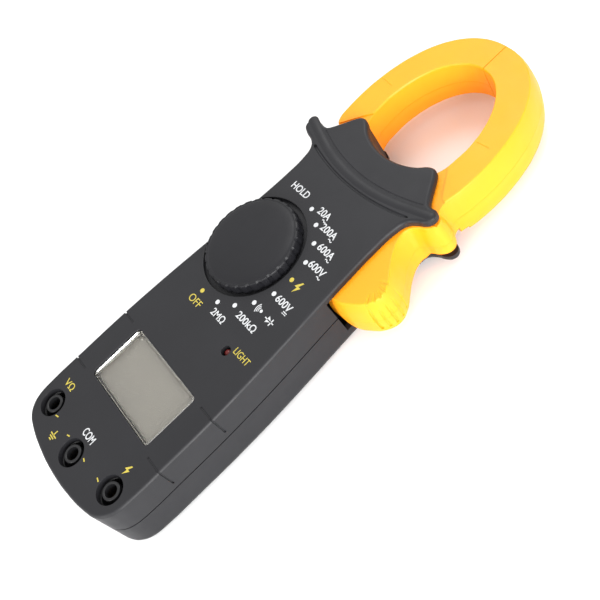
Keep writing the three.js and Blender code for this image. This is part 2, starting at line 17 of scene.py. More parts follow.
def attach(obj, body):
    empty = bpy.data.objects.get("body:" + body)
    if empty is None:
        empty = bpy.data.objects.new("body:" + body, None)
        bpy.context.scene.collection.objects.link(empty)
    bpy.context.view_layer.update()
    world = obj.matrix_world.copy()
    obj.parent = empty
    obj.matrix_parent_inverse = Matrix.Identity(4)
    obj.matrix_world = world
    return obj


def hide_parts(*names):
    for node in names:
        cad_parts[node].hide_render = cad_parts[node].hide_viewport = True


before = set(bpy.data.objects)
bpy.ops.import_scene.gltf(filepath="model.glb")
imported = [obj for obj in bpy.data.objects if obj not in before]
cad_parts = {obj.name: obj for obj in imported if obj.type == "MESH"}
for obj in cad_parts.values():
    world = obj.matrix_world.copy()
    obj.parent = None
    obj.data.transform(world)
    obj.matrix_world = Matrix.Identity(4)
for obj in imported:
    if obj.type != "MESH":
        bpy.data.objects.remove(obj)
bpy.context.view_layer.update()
MM = 0.001
FACE = 22.5
NOISE_LOW, NOISE_HIGH = 0.3, 0.7
scene = bpy.context.scene

# %% [markdown]
# The camera stands to the right of the meter and above it, turned so that the jaw points up and away.
# Its three directions are written out, because the view is rolled as well as tilted.

# %% Camera
camera = bpy.data.objects.new("camera", bpy.data.cameras.new("camera"))
scene.collection.objects.link(camera)
camera.data.lens = 61.97
camera.data.sensor_width = 36
camera.data.clip_start = 0.01
view_right = Vector((0.5398, 0.7228, -0.4315))
view_up = Vector((-0.5331, 0.6902, 0.4892))
view_back = view_right.cross(view_up)
camera.matrix_world = Matrix.Translation((0.21293, -0.01212, 0.24836)) @ Matrix(
    (view_right, view_up, view_back)).transposed().to_4x4()
scene.camera = camera
print("camera looks along", [round(-v, 2) for v in view_back])

# %% [markdown]
# A white table and big soft lamps give the even studio light that plastic needs: broad highlights along
# the rounded edges and hardly any hard shadow. The strongest lamp stands low on the right, so the right
# flank and the outside of the jaw are brighter than the face.

# %% Floor and light
floor_mesh = bmesh.new()
bmesh.ops.create_grid(floor_mesh, x_segments=1, y_segments=1, size=4.0)
floor_data = bpy.data.meshes.new("floor")
floor_mesh.to_mesh(floor_data)
floor = bpy.data.objects.new("floor", floor_data)
scene.collection.objects.link(floor)
floor.location.z = -0.0002
floor_paint = bpy.data.materials.new("white_table")
floor_paint.use_nodes = True
floor_paint.node_tree.nodes["Principled BSDF"].inputs["Base Color"].default_value = (0.93, 0.93, 0.93, 1)
floor_paint.node_tree.nodes["Principled BSDF"].inputs["Roughness"].default_value = 0.9
floor_data.materials.append(floor_paint)

world = bpy.data.worlds.new("studio")
world.use_nodes = True
world.node_tree.nodes["Background"].inputs["Color"].default_value = (1, 1, 1, 1)
world.node_tree.nodes["Background"].inputs["Strength"].default_value = 0.95
scene.world = world
scene.view_settings.view_transform = "Standard"


def soft_lamp(name, place, size, power):
    lamp = bpy.data.objects.new(name, bpy.data.lights.new(name, "AREA"))
    lamp.data.shape = "DISK"
    lamp.data.size = size
    lamp.data.energy = power
    lamp.location = place
    lamp.rotation_euler = (Vector((0, 0, 0)) - Vector(place)).to_track_quat("-Z", "Y").to_euler()
    scene.collection.objects.link(lamp)


soft_lamp("key_lamp", (-0.35, 0.45, 0.75), 0.5, 3.5)
soft_lamp("side_lamp", (0.85, -0.1, 0.3), 0.6, 12.0)
soft_lamp("low_lamp", (0.25, -0.85, 0.35), 0.5, 4.0)

# %% [markdown]
# Finishes come before pieces. Injection-moulded plastic is never one flat colour: the mould's spark-eroded
# face leaves a fine grain, the gloss varies a little where hands rub it, and the colour drifts slightly with
# the thickness of the wall. One recipe makes all the plastics: two noise patterns, one coarse for drift
# and one fine for grain, both on Object coordinates so that they stay on the piece.

# %% The plastic recipe
def new_material(name):
    material = bpy.data.materials.new(name)
    material.use_nodes = True
    nodes = material.node_tree.nodes
    return material, nodes, material.node_tree.links, nodes["Principled BSDF"]


def noise(nodes, links, scale, detail, stretch=(1, 1, 1)):
    place = nodes.new("ShaderNodeTexCoord")
    mapping = nodes.new("ShaderNodeMapping")
    mapping.inputs["Scale"].default_value = stretch
    pattern = nodes.new("ShaderNodeTexNoise")
    pattern.inputs["Scale"].default_value = scale
    pattern.inputs["Detail"].default_value = detail
    links.new(place.outputs["Object"], mapping.inputs["Vector"])
    links.new(mapping.outputs["Vector"], pattern.inputs["Vector"])
    return pattern.outputs["Fac"]


def ramp(nodes, links, source, low, high):
    stops = nodes.new("ShaderNodeValToRGB")
    stops.color_ramp.elements[0].position = NOISE_LOW
    stops.color_ramp.elements[1].position = NOISE_HIGH
    stops.color_ramp.elements[0].color = (*low, 1)
    stops.color_ramp.elements[1].color = (*high, 1)
    links.new(source, stops.inputs["Fac"])
    return stops.outputs["Color"]


def spread(nodes, links, source, low, high):
    span = nodes.new("ShaderNodeMapRange")
    span.inputs["To Min"].default_value = low
    span.inputs["To Max"].default_value = high
    span.inputs["From Min"].default_value = NOISE_LOW
    span.inputs["From Max"].default_value = NOISE_HIGH
    links.new(source, span.inputs["Value"])
    return span.outputs["Result"]


def relief(nodes, links, shader, source, strength, distance):
    bump = nodes.new("ShaderNodeBump")
    bump.inputs["Strength"].default_value = strength
    bump.inputs["Distance"].default_value = distance
    links.new(source, bump.inputs["Height"])
    links.new(bump.outputs["Normal"], shader.inputs["Normal"])


def plastic(name, colour, drift, rough, grain=2600, depth=0.3, glow=0.0, sheen=0.5):
    material, nodes, links, shader = new_material(name)
    low = [c * (1 - drift) for c in colour]
    high = [min(1, c * (1 + drift)) for c in colour]
    links.new(ramp(nodes, links, noise(nodes, links, 45, 4), low, high), shader.inputs["Base Color"])
    fine = noise(nodes, links, grain, 3)
    links.new(spread(nodes, links, noise(nodes, links, 160, 5), *rough), shader.inputs["Roughness"])
    relief(nodes, links, shader, fine, depth, 0.00005)
    shader.inputs["Specular IOR Level"].default_value = sheen
    if glow:
        shader.inputs["Subsurface Weight"].default_value = glow
        shader.inputs["Subsurface Radius"].default_value = (0.004, 0.002, 0.0005)
        shader.inputs["Subsurface Scale"].default_value = 1
    return material


charcoal = plastic("charcoal_plastic", (0.0125, 0.0125, 0.0145), 0.10, (0.42, 0.54), depth=0.35, sheen=0.32)
knob_grey = plastic("knob_plastic", (0.008, 0.008, 0.010), 0.10, (0.42, 0.55), depth=0.3, sheen=0.3)
jack_black = plastic("jack_plastic", (0.009, 0.009, 0.010), 0.12, (0.34, 0.46), depth=0.15, sheen=0.4)
amber = plastic("amber_plastic", (0.98, 0.335, 0.006), 0.03, (0.40, 0.50), grain=1800,
                depth=0.12, glow=0.2, sheen=0.35)
ivory = plastic("ivory_plastic", (0.78, 0.74, 0.64), 0.05, (0.40, 0.52))
chip_black = plastic("chip_epoxy", (0.013, 0.013, 0.014), 0.15, (0.5, 0.65), grain=4000)
rubber = plastic("contact_rubber", (0.03, 0.03, 0.032), 0.2, (0.75, 0.9), grain=3000)
print("plastics:", [m.name for m in bpy.data.materials])

# %% [markdown]
# Metals and the other finishes. Turned and drawn metal carries fine scratches along one direction, so its
# noise is stretched. The core is a stack of thin steel sheets, the windings are rows of enamelled wire,
# and the board's green mask has tracks under it. A band pattern makes each of these three.

# %% Metals and banded finishes
def metal(name, colour, rough, stretch=(1, 1, 14), scratches=700):
    material, nodes, links, shader = new_material(name)
    shader.inputs["Metallic"].default_value = 1
    marks = noise(nodes, links, scratches, 4, stretch)
    low = [c * 0.85 for c in colour]
    links.new(ramp(nodes, links, marks, low, colour), shader.inputs["Base Color"])
    links.new(spread(nodes, links, marks, *rough), shader.inputs["Roughness"])
    relief(nodes, links, shader, marks, 0.12, 0.00003)
    return material


def banded(name, dark, light, scale, axis, rough, metallic=0.0, depth=0.4, bend=0.0):
    material, nodes, links, shader = new_material(name)
    place = nodes.new("ShaderNodeTexCoord")
    bands = nodes.new("ShaderNodeTexWave")
    bands.bands_direction = axis
    bands.inputs["Scale"].default_value = scale
    bands.inputs["Distortion"].default_value = bend
    links.new(place.outputs["Object"], bands.inputs["Vector"])
    links.new(ramp(nodes, links, bands.outputs["Fac"], dark, light), shader.inputs["Base Color"])
    links.new(spread(nodes, links, noise(nodes, links, 300, 4), *rough), shader.inputs["Roughness"])
    shader.inputs["Metallic"].default_value = metallic
    relief(nodes, links, shader, bands.outputs["Fac"], depth, 0.0001)
    return material


steel = metal("plated_steel", (0.66, 0.67, 0.68), (0.22, 0.36))
spring_steel = metal("spring_steel", (0.48, 0.49, 0.5), (0.25, 0.4), (6, 6, 1))
brass = metal("turned_brass", (0.62, 0.45, 0.2), (0.25, 0.38), (1, 1, 20))
sheet_core = banded("stacked_core_sheets", (0.10, 0.10, 0.105), (0.24, 0.24, 0.25), 320, "Z",
                    (0.35, 0.5), 0.8)
copper = banded("enamelled_windings", (0.30, 0.10, 0.03), (0.72, 0.34, 0.14), 420, "Y",
                (0.22, 0.34), 0.9, 0.8)
board_green = banded("board_mask", (0.010, 0.085, 0.03), (0.022, 0.16, 0.055), 60, "DIAGONAL", (0.28, 0.4),
                     0.0, 0.15, 9.0)
cell_wrap = banded("cell_sleeve", (0.02, 0.05, 0.14), (0.05, 0.20, 0.48), 24, "Y", (0.22, 0.34),
                   0.3, 0.05, 1.5)
print("metals and bands ready:", len(bpy.data.materials))

# %% [markdown]
# Clear and printed finishes. The window is a thin clear moulding with polished edges. The display under
# it is a sheet of grey liquid-crystal glass, warm in tone with a faint drift in its colour. Legend
# ink is white or yellow, with small variations in how densely it printed. The lamp's lens is deep red.

# %% Clear and printed finishes
def ink(name, colour):
    material, nodes, links, shader = new_material(name)
    thin = [c * 0.8 for c in colour]
    links.new(ramp(nodes, links, noise(nodes, links, 1500, 3), thin, colour), shader.inputs["Base Color"])
    links.new(spread(nodes, links, noise(nodes, links, 900, 2), 0.45, 0.6), shader.inputs["Roughness"])
    return material


white_ink = ink("white_ink", (0.60, 0.61, 0.62))
yellow_ink = ink("yellow_ink", (0.52, 0.42, 0.055))
# Painted shade: a near-black finish that stands in for the shadow inside the engraved grooves and the parting
# gap.
painted_groove_shade = plastic("groove_shadow", (0.0015, 0.0015, 0.0016), 0.1, (0.7, 0.85), sheen=0.08)

window_clear, nodes, links, shader = new_material("window_clear")
shader.inputs["Base Color"].default_value = (0.97, 0.98, 0.98, 1)
shader.inputs["Transmission Weight"].default_value = 1
shader.inputs["IOR"].default_value = 1.46
links.new(spread(nodes, links, noise(nodes, links, 220, 3), 0.02, 0.06), shader.inputs["Roughness"])

display_grey, nodes, links, shader = new_material("display_glass")
links.new(ramp(nodes, links, noise(nodes, links, 30, 3), (0.34, 0.31, 0.26), (0.37, 0.34, 0.285)),
          shader.inputs["Base Color"])
links.new(spread(nodes, links, noise(nodes, links, 400, 3), 0.32, 0.42), shader.inputs["Roughness"])

lens_red, nodes, links, shader = new_material("lens_red")
links.new(ramp(nodes, links, noise(nodes, links, 500, 2), (0.09, 0.006, 0.005), (0.17, 0.015, 0.012)),
          shader.inputs["Base Color"])
links.new(spread(nodes, links, noise(nodes, links, 700, 2), 0.3, 0.42), shader.inputs["Roughness"])
shader.inputs["Specular IOR Level"].default_value = 0.4
print("finishes:", len(bpy.data.materials))

# %% [markdown]
# Outlines. The meter's shapes are plates with curved outlines and rounded edges, which is how a moulder
# draws them. A Bezier curve through a few points gives the outline: a point is smooth unless it is marked
# as a corner. Blender turns the curve into a ring of vertices, and that ring is filled and lifted.

# %% Outline to plate
def ring_of(points, steps=8):
    """A bmesh holding one closed ring in the XY plane, in millimetres, through points (x, y[, 'corner'])."""
    curve = bpy.data.curves.new("outline", "CURVE")
    curve.dimensions = "2D"
    curve.fill_mode = "NONE"
    curve.resolution_u = steps
    spline = curve.splines.new("BEZIER")
    spline.bezier_points.add(len(points) - 1)
    spline.use_cyclic_u = True
    for knot, point in zip(spline.bezier_points, points):
        knot.co = (point[0], point[1], 0)
        kind = "VECTOR" if len(point) > 2 else "AUTO"
        knot.handle_left_type = knot.handle_right_type = kind
    holder = bpy.data.objects.new("outline", curve)
    scene.collection.objects.link(holder)
    bm = bmesh.new()
    bm.from_mesh(bpy.data.meshes.new_from_object(holder))
    bpy.data.objects.remove(holder)
    bpy.data.curves.remove(curve)
    bmesh.ops.remove_doubles(bm, verts=bm.verts, dist=0.005)
    return bm


def both_sides(half, left_half=None):
    """The right-hand half of an outline, from the bottom middle to the top middle, closed on the left."""
    return half + [(-p[0], *p[1:]) for p in reversed((left_half or half)[1:-1])]


def quarter_round(r, steps=4):
    """Inset and rise of each step of a rounded edge."""
    turns = [math.radians(90 * i / steps) for i in range(steps + 1)]
    return [(r * (math.cos(a) - math.cos(b)), r * (math.sin(b) - math.sin(a)))
            for a, b in zip(turns, turns[1:])]


def slab(ring, low, high, top=(), bottom=(), even=True):
    """Fills the ring, lifts it into a plate, and shapes its top and bottom edges by (inset, travel) steps."""
    bm = ring
    base = bmesh.ops.contextual_create(bm, geom=bm.edges[:])["faces"][0]
    if base.normal.z > 0:
        base.normal_flip()
    bmesh.ops.translate(bm, verts=bm.verts, vec=(0, 0, low))
    lifted = bmesh.ops.extrude_face_region(bm, geom=[base], use_keep_orig=True)["geom"]
    cap = [f for f in lifted if isinstance(f, bmesh.types.BMFace)][0]
    bmesh.ops.translate(bm, verts=cap.verts, vec=(0, 0, high - low))
    bmesh.ops.recalc_face_normals(bm, faces=bm.faces)
    for inset, travel in top:
        bmesh.ops.inset_region(bm, faces=[cap], thickness=inset, use_even_offset=even)
        bmesh.ops.translate(bm, verts=cap.verts, vec=(0, 0, travel))
    for inset, travel in bottom:
        bmesh.ops.inset_region(bm, faces=[base], thickness=inset, use_even_offset=even)
        bmesh.ops.translate(bm, verts=base.verts, vec=(0, 0, -travel))
    bmesh.ops.recalc_face_normals(bm, faces=bm.faces)
    return bm


def turned(profile, centre, sides=64):
    """A round piece: a profile of (radius, height) spun about an upright axis through centre."""
    bm = bmesh.new()
    verts = [bm.verts.new((r, 0, z)) for r, z in profile]
    edges = [bm.edges.new(pair) for pair in zip(verts, verts[1:])]
    bmesh.ops.spin(bm, geom=verts + edges, cent=(0, 0, 0), axis=(0, 0, 1), angle=2 * math.pi,
                   steps=sides, use_merge=True)
    bmesh.ops.remove_doubles(bm, verts=bm.verts, dist=0.0005)
    bmesh.ops.recalc_face_normals(bm, faces=bm.faces)
    bmesh.ops.translate(bm, verts=bm.verts, vec=(centre[0], centre[1], 0))
    return bm


def block(low, high):
    bm = bmesh.new()
    bmesh.ops.create_cube(bm, size=1)
    size = [b - a for a, b in zip(low, high)]
    bmesh.ops.scale(bm, verts=bm.verts, vec=size)
    bmesh.ops.translate(bm, verts=bm.verts, vec=[(a + b) / 2 for a, b in zip(low, high)])
    return bm


def rod(path, radius, sides=4):
    """A round rod along a path of points, for engraving a groove or laying a bead."""
    curve = bpy.data.curves.new("rod", "CURVE")
    curve.dimensions = "3D"
    curve.bevel_depth = radius
    curve.bevel_resolution = sides
    curve.use_fill_caps = True
    spline = curve.splines.new("POLY")
    spline.points.add(len(path) - 1)
    for knot, point in zip(spline.points, path):
        knot.co = (*point, 1)
    holder = bpy.data.objects.new("rod", curve)
    scene.collection.objects.link(holder)
    bm = bmesh.new()
    bm.from_mesh(bpy.data.meshes.new_from_object(holder))
    bpy.data.objects.remove(holder)
    bpy.data.curves.remove(curve)
    bmesh.ops.recalc_face_normals(bm, faces=bm.faces)
    return bm


# %% [markdown]
# Cutting and finishing. A mould cuts its openings with steel inserts, and the Boolean modifier does the
# same: each insert is its own solid, taken away from the shell, and the result is kept as plain mesh.
# Finishing scales the piece to metres, marks its creases and puts it on its body, and a weighted-normal
# modifier keeps the wide flat faces flat where they meet a rounded edge.

# %% Cut and finish
def as_object(name, bm):
    data = bpy.data.meshes.new(name)
    bm.to_mesh(data)
    bm.free()
    thing = bpy.data.objects.new(name, data)
    scene.collection.objects.link(thing)
    return thing


def combine(thing, inserts, how="DIFFERENCE"):
    """Applies each insert's solid to the piece, one after another, and drops the inserts."""
    tools = [as_object("insert", bm) for bm in inserts]
    for tool in tools:
        step = thing.modifiers.new("insert", "BOOLEAN")
        step.operation = how
        step.solver = "EXACT"
        step.object = tool
    bpy.context.view_layer.update()
    result = bpy.data.meshes.new_from_object(thing.evaluated_get(bpy.context.evaluated_depsgraph_get()))
    thing.modifiers.clear()
    thing.data = result
    for tool in tools:
        bpy.data.objects.remove(tool)
    return thing


CREASE = 32


def finish_piece(thing, material, body, stands_for=()):
    bm = bmesh.new()
    bm.from_mesh(thing.data)
    bmesh.ops.remove_doubles(bm, verts=bm.verts, dist=0.0008)
    bmesh.ops.dissolve_degenerate(bm, edges=bm.edges, dist=0.0005)
    bmesh.ops.scale(bm, verts=bm.verts, vec=(MM, MM, MM))
    for face in bm.faces:
        face.smooth = True
    for edge in bm.edges:
        edge.smooth = edge.is_manifold and edge.calc_face_angle(0) < math.radians(CREASE)
    bm.to_mesh(thing.data)
    bm.free()
    if len(thing.data.materials) < 2:
        thing.data.materials.clear()
        thing.data.materials.append(material)
    even = thing.modifiers.new("even_shading", "WEIGHTED_NORMAL")
    even.keep_sharp = True
    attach(thing, body)
    if stands_for:
        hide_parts(*stands_for)
    print(thing.name, len(thing.data.polygons), "faces")
    return thing


# %% [markdown]
# The case outline. One line runs round the lower case and on round the finger guard, with its two horns and
# the throat that the jaws come out of. The front shell is that whole plate; the slot for the jaws
# is cut out of it afterwards, so that the flank of the case flows into the horn without a join.

# %% Case outlines
CASE_FLANK = [(0, -90.6), (10.5, -90), (20, -88.3), (24, -86.8), (26.8, -84.2), (28.4, -80.6), (28.9, -76),
              (28.9, -61), (28.7, -46), (27.9, -30), (26.7, -15), (25.4, -1), (24.3, 12), (23.7, 23)]
THROAT_Y = 73.3
THROAT_R = 26.25
FRONT_LOW, ROOF = 12.2, 20.2
REAR_HIGH = 11.8
GUARD_LOW, GUARD_HIGH = 3.3, 4.7
LEFT_POST = (-20.5, 40)


def guard_line(reach):
    """From the flank round the horn and the shoulder to the middle of the throat."""
    horn = [(23.9, 31), (25, 34.9), (27.4, 36.9), (27.2 + reach * 0.6, 38.1), (27.2 + reach * 0.93, 39.6),
            (27.3 + reach * 0.92, 41.9), (27 + reach * 0.62, 43.3), (27.2, 43.2), (25.9, 43.6), (24.6, 45)]
    shoulder = [(22.4, 48), (19.7, 51.6), (18.4, 52.7), (16.4, 52.75)]
    throat = [(x, THROAT_Y - math.sqrt(THROAT_R ** 2 - x ** 2)) for x in (12, 8, 4, 0)]
    return horn + shoulder + throat


front_outline = both_sides(CASE_FLANK + guard_line(4.0), CASE_FLANK + guard_line(7.2))
case_outline = both_sides(CASE_FLANK + [(23.6, 34, "corner"), (0, 34, "corner")])
guard_outline = both_sides([(0, 30, "corner"), (22, 30, "corner")] + guard_line(5.2))
print("front outline points:", len(front_outline))

# %% [markdown]
# The front shell. Its inserts are the hollow inside, the jaw slot, the knob's well, the window, the sockets
# and the lamp hole. Each opening has a small lip, because a moulded edge is never a knife edge.

# %% Front shell
EDGE_R = 1.2
KNOB_AT = (-10, 0)
WINDOW_CORNERS = [(18.4, -63.2), (18.4, -43.4), (-18.4, -43.4), (-18.4, -63.2)]
SOCKETS = {"volt_ohm": (-20.9, -78.7), "common": (0, -82.3), "insulation": (20.9, -78.7)}
LAMP_AT = (13.1, -27.7)


def rounded_box(corners, r, steps=6):
    """Outline points of a rectangle with rounded corners."""
    (xs, ys) = zip(*corners)
    x1, x0, y1, y0 = max(xs) - r, min(xs) + r, max(ys) - r, min(ys) + r
    centres = [(x1, y1, 0), (x0, y1, 90), (x0, y0, 180), (x1, y0, 270)]
    return [(cx + r * math.cos(math.radians(start + 90 * i / steps)),
             cy + r * math.sin(math.radians(start + 90 * i / steps)), "corner")
            for cx, cy, start in centres for i in range(steps + 1)]


def lipped_hole(centre, r, floor_z, lip=0.35, sides=64):
    return turned([(0, floor_z), (r, floor_z), (r, FACE - lip), (r + lip * 0.3, FACE - lip * 0.3),
                   (r + lip, FACE + 0.01), (r + lip, FACE + 1), (0, FACE + 1)], centre, sides)


def hollow(low, high):
    """The room inside the shells, with 2 mm left for the wall."""
    inside_line = [(max(x - 2, 0) if x else 0, y + (2 if y < -80 else 0), *c) for x, y, *c in CASE_FLANK]
    return slab(ring_of(both_sides(inside_line + [(21.6, 32, "corner"), (0, 32, "corner")])), low, high)


def trigger_slot(low, high):
    return block((20, 2.4, low), (45, 40, high))


front_shell = as_object("front_shell", slab(ring_of(front_outline), FRONT_LOW, FACE - EDGE_R,
                                            top=quarter_round(EDGE_R, 5)))
combine(front_shell, [
    hollow(10, ROOF),
    block((-22.7, 33.9, 5), (45, 60, ROOF)),
    block((-45, 44.6, 5), (45, 60, ROOF)),
    trigger_slot(5, ROOF),
    lipped_hole(KNOB_AT, 17.9, FACE - 1.5, 0.3, 96),
    turned([(0, 15), (5.2, 15), (5.2, 24), (0, 24)], KNOB_AT),
    slab(ring_of(rounded_box(WINDOW_CORNERS, 1.5)), 19, FACE - 0.5,
         top=[(-0.06, 0.3), (-0.24, 0.21), (0, 1)]),
    lipped_hole(LAMP_AT, 1.6, 18, 0.25, 32),
    block((-30, 19.2, 15.9), (-18, 25.8, 19.9)),
    *[lipped_hole(at, 4.6, 15, 0.3) for at in SOCKETS.values()],
])
print("front shell:", len(front_shell.data.polygons), "faces after its inserts")

# %% [markdown]
# Engraved lines. Two short lines run over each flank, level with the ends of the window, and the finger
# guard is set off by a groove and a finer line above it. Rods laid along these paths cut them in, so they
# catch the light like moulded grooves; their walls are painted near-black as painted shade.

# %% Engraved lines
def arc_points(middle, end, steps=16):
    """Points of the shallow arc through (-x, y), (0, middle) and (x, y)."""
    x, y = end
    return [(x * t, middle + (y - middle) * t * t) for t in [i / steps * 2 - 1 for i in range(steps + 1)]]


def flank_x(y):
    """Half-width of the case at y, read from the outline's points."""
    for (x0, y0), (x1, y1) in zip(CASE_FLANK[6:], CASE_FLANK[7:]):
        if y0 <= y <= y1:
            return x0 + (x1 - x0) * (y - y0) / (y1 - y0)
    return 28.9


def flank_path(side, y, start_x):
    x = flank_x(y)
    bend = 1.5
    turns = [math.radians(a) for a in range(0, 91, 15)]
    over = [(x - bend + bend * math.sin(a), FACE - bend + bend * math.cos(a)) for a in turns]
    return [(side * px, y, pz) for px, pz in [(start_x, FACE + 0.05), (x - 3, FACE + 0.05)] + over
            + [(x + 0.02, 18), (x + 0.02, 14.4)]]


def engrave(piece, lines, shade):
    """Cuts each (path, radius) line into the piece and paints the walls it leaves near-black, as painted
    shade.
    """
    combine(piece, [rod(path, r) for path, r in lines])
    dense = [(Vector(a).lerp(Vector(b), i / 24), r) for path, r in lines
             for a, b in zip(path, path[1:]) for i in range(25)]
    tree = KDTree(len(dense))
    for i, (point, _) in enumerate(dense):
        tree.insert(point, i)
    tree.balance()
    for face in piece.data.polygons:
        _, i, away = tree.find(face.center)
        near = away < dense[i][1] * 1.12
        # Painted shade: small faces on the groove walls, near a rod's path, take the near-black finish.
        face.material_index = int(near and face.normal.z > -0.5 and face.area < 2)
    piece.data.materials.clear()
    for finish in (charcoal, shade):
        piece.data.materials.append(finish)
    print("engraved", len(lines), "lines:", sum(f.material_index for f in piece.data.polygons), "faces")


guard_groove = [(x, y, FACE + 0.04) for x, y in arc_points(33.1, (22.8, 36.0))]
guard_groove = [(-24.6, 36.6, FACE - 0.6)] + guard_groove + [(24.6, 36.6, FACE - 0.6)]
fine_line = [(x, y, FACE + 0.12) for x, y in arc_points(37.9, (25.0, 42.2), 20)]
lines = [(guard_groove, 0.5), (fine_line, 0.3)]
for side in (1, -1):
    for y, start in ((-43.6, 22.2), (-64.3, 22.1)):
        lines.append((flank_path(side, y, start), 0.33))
engrave(front_shell, lines, painted_groove_shade)
finish_piece(front_shell, charcoal, "meter", ["front_case"])

# %% [markdown]
# The guard bar is the raised band between the two engraved lines. It runs out along the horns and ends
# in a round tip, so a hand that slides up the meter stops against it.

# %% Guard bar
BAR_R = 1.85
BAR_LINE = [(-32.8, 42.3), (-28.5, 40.9), (-23, 39.1), (-18, 37.7), (-12, 36.5), (-6, 35.75), (0, 35.5),
            (6, 35.75), (12, 36.5), (18, 37.7), (23, 39.1), (26.5, 40.1), (29.4, 40.9)]
bar = as_object("guard_bar", rod([(x, y, 0) for x, y in BAR_LINE], BAR_R, sides=6))
tip_turns = [math.radians(a) for a in range(-75, 90, 15)]
tip_line = [(BAR_R * math.cos(a), BAR_R * math.sin(a)) for a in tip_turns]
tips = [turned([(0, -BAR_R)] + tip_line + [(0, BAR_R)], end, 32) for end in (BAR_LINE[0], BAR_LINE[-1])]
combine(bar, tips, "UNION")
bar_shape = bmesh.new()
bar_shape.from_mesh(bar.data)
bmesh.ops.scale(bar_shape, verts=bar_shape.verts, vec=(1, 1, 0.5))
bmesh.ops.translate(bar_shape, verts=bar_shape.verts, vec=(0, 0, FACE - 0.55))
bar_shape.to_mesh(bar.data)
finish_piece(bar, charcoal, "meter")

# %% [markdown]
# The rear shell. It is deeper than the front one, with a generous rounding to the palm. A thinner guard plate
# is set up from its back, and the jaws run between that plate and the front one. The battery bay, the
# screw posts and the sockets' seats are inside it, so the door opening goes right through its floor.

# %% Rear shell
BACK_R = 3
GUARD_EDGE_R = 0.9
CASE_POSTS = [(-10.5, -80.5), (10.5, -80.5), (19, -7)]
DOOR_SCREW_AT = (0, -74.1)
rear_shell = as_object("rear_shell", slab(ring_of(case_outline), BACK_R, REAR_HIGH,
                                          bottom=quarter_round(BACK_R, 6), even=False))
rear_guard = slab(ring_of(guard_outline), GUARD_LOW, GUARD_HIGH, bottom=quarter_round(GUARD_EDGE_R, 3))
left_horn = slab(ring_of(front_outline), GUARD_LOW, REAR_HIGH, bottom=quarter_round(GUARD_EDGE_R, 3))
left_horn_piece = combine(as_object("left_horn", left_horn), [block((-22.7, -100, 0), (60, 60, 14)),
                                                              block((-60, -100, 0), (60, 29, 14)),
                                                              block((-60, 44.6, 0), (60, 60, 14))])
horn_shape = bmesh.new()
horn_shape.from_mesh(left_horn_piece.data)
bpy.data.objects.remove(left_horn_piece)
combine(rear_shell, [
    hollow(2, 14),
    block((-22, 31.9, GUARD_HIGH), (22, 40, 14)),
])
combine(rear_shell, [rear_guard, horn_shape, turned([(0, 1.2), (3.7, 1.2), (4, 1.5), (4, GUARD_HIGH),
                                                     (0, GUARD_HIGH)], LEFT_POST)], "UNION")
combine(rear_shell, [
    trigger_slot(GUARD_HIGH, 14),
    block((-12.3, -77.1, -1), (12.3, -21, 3)),
    block((-22.7, 34.2, GUARD_HIGH), (22.7, 36, 14)),
    *[turned([(0, -1), (2.9, -1), (2.9, 2.2), (1.6, 2.2), (1.6, 8), (0, 8)], at, 32)
      for at in CASE_POSTS],
    turned([(0, -1), (2.9, -1), (2.9, 3.4), (1.6, 3.4), (1.6, 8), (0, 8)], LEFT_POST, 32),
])
finish_piece(rear_shell, charcoal, "meter", ["rear_case"])

# %% [markdown]
# A lip runs round inside the parting line, where the two shells overlap. It is set back from the outside and
# painted near-black as painted shade, so the line reads as a thin black gap all round the case.

# %% Parting lip
def set_in(flank, foot, corner_x, corner_y):
    """The case outline moved in by flank at its sides and by foot at its lower end."""
    line = [(x - flank if x else 0, y + (foot if y < -80 else 0), *c) for x, y, *c in CASE_FLANK]
    return both_sides(line + [(corner_x, corner_y, "corner"), (0, corner_y, "corner")])


lip = as_object("parting_lip", slab(ring_of(set_in(0.55, 0.5, 23, 33.4)), 11.3, 12.7))
combine(lip, [slab(ring_of(set_in(1.5, 1.4, 22, 32.4)), 10, 14), trigger_slot(5, 20)])
# Painted shade: the lip's near-black finish stands in for the shadow in the parting gap.
finish_piece(lip, painted_groove_shade, "meter")

# %% [markdown]
# The battery bay is a thin-walled tray that hangs inside the rear shell. It is a plain box with its inside
# taken out, and it stands on the floor round the door opening.

# %% Battery bay
bay = as_object("battery_bay", block((-14, -72.6, 1.9), (14, -19.4, 11.6)))
combine(bay, [block((-12.8, -71.4, 0), (12.8, -20.6, 13))])
finish_piece(bay, charcoal, "meter")

# %% [markdown]
# The battery door has a rounded outline, three chevron thumb grooves and a countersunk hole for its screw.

# %% Battery door
DOOR_CORNERS = [(12, -76.8), (12, -21.3), (-12, -21.3), (-12, -76.8)]
door = as_object("door_panel", slab(ring_of(rounded_box(DOOR_CORNERS, 1.2)), 0.35, 1.7,
                                    bottom=quarter_round(0.3, 3)))
thumb_grooves = [rod([(-7 + i * 1.4, y - i * 0.35, 0) for i in range(6)]
                     + [(i * 1.4, y - 1.75 + i * 0.35, 0) for i in range(6)], 0.45)
                 for y in (-29, -31.6, -34.2)]
screw_hole = turned([(0, -1), (2.6, -1), (2.6, 0.9), (1.4, 0.9), (1.4, 3), (0, 3)], DOOR_SCREW_AT, 40)
combine(door, [screw_hole, *thumb_grooves])
finish_piece(door, charcoal, "meter", ["battery_door"])

# %% [markdown]
# Screw heads show only on the back, sunk in their bores: pan heads with a cross recess. The recess is two
# thin bars taken out of the head.

# %% Screws
def screw(name, at, low, head_r, head_depth, tip, shank_r):
    body = as_object(name, turned([
        (0, low), (head_r - 0.5, low), (head_r - 0.1, low + 0.25), (head_r, low + 0.6),
        (head_r, low + head_depth), (shank_r, low + head_depth), (shank_r, tip - 0.8), (0.3, tip), (0, tip)],
        at, 40))
    cross = [block((at[0] - a, at[1] - b, low - 1), (at[0] + a, at[1] + b, low + 0.75))
             for a, b in ((head_r * 0.62, 0.3), (0.3, head_r * 0.62))]
    combine(body, cross)
    return finish_piece(body, steel, "meter", [name.replace("_detail", "")])


